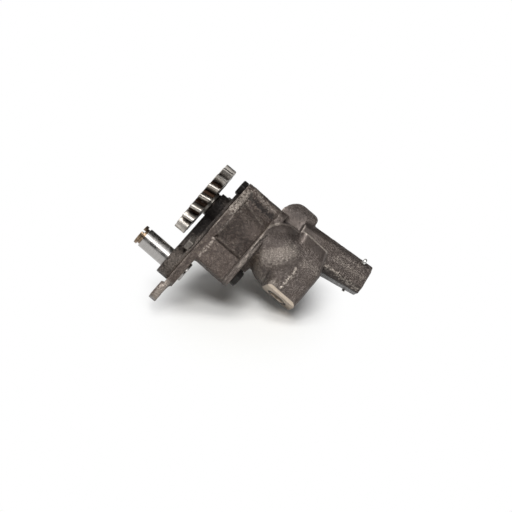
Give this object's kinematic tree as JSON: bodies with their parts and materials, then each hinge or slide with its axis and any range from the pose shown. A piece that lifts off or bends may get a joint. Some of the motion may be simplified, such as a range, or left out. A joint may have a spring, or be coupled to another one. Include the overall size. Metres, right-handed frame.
{
  "type": "engine oil pump",
  "caption": "Engine oil pump: a helical drive gear turns meshed pumping gears in a cast body, with an idler shaft, an outlet elbow and a sprung relief valve.",
  "frame": {"origin": "on the idler shaft's axis, in the plane of the plate face that bolts to the engine", "axes": "+X along the drive shaft from the drive gear towards the relief valve, +Z from the idler shaft to the drive shaft, +Y away from the side with the square boss"},
  "size_m": [0.2154, 0.129, 0.1825],
  "materials": {
    "cast_body": "sand cast, as cast",
    "cover_iron": "sand cast, milled faces",
    "cast_housing": "sand cast, as cast",
    "gasket": "fibre gasket sheet",
    "ground_steel": "ground",
    "pin_steel": "ground",
    "bronze": "bored",
    "zinc_bolt": "zinc plated, dull",
    "black_bolt": "black oxide",
    "seal_rubber": "moulded",
    "spring_steel": "drawn wire",
    "cotter_steel": "zinc plated, bright",
    "gear_steel": "hobbed",
    "pump_gear_steel": "hobbed"
  },
  "bodies": {
    "housing": {"pump_body": "cast_body", "front_cover": "cover_iron", "rear_housing": "cast_housing", "rear_gasket": "gasket", "idler_shaft": "ground_steel", "driven_spindle": "pin_steel", "front_shaft_bush": "bronze", "rear_shaft_bush": "bronze", "thrust_washer": "bronze", "cover_dowels": "pin_steel", "housing_dowels": "pin_steel", "cover_bolts": "zinc_bolt", "through_bolt": "black_bolt", "rear_bolts": "black_bolt", "outlet_seal": "seal_rubber", "relief_spring_seat": "pin_steel", "relief_spring": "spring_steel", "relief_cotter_pin": "cotter_steel"},
    "drive_rotor": {"drive_gear": "gear_steel", "drive_shaft": "pin_steel", "drive_gear_key": "pin_steel", "pump_drive_gear": "pump_gear_steel", "pump_gear_key": "pin_steel"},
    "driven_rotor": {"pump_driven_gear": "pump_gear_steel", "driven_gear_bush": "bronze"},
    "relief_valve": {"relief_plunger": "ground_steel"}
  },
  "joints": [
    {"name": "drive_spin", "type": "hinge", "parent": "housing", "child": "drive_rotor", "pos_m": [0, 0, 0.0727], "axis": [1, 0, 0], "continuous": true},
    {"name": "driven_spin", "type": "hinge", "parent": "housing", "child": "driven_rotor", "pos_m": [0, 0.0325, 0.0727], "axis": [1, 0, 0], "continuous": true},
    {"name": "relief_slide", "type": "slide", "parent": "housing", "child": "relief_valve", "axis": [0.9882, 0, 0.153], "range_m": [0, 0.009], "stiffness_N_per_m": 4000, "springref_m": -0.01, "deforming": ["relief_spring"]}
  ],
  "couplings": [
    {"joint": "driven_spin", "follows": "drive_spin", "ratio": -1}
  ]
}
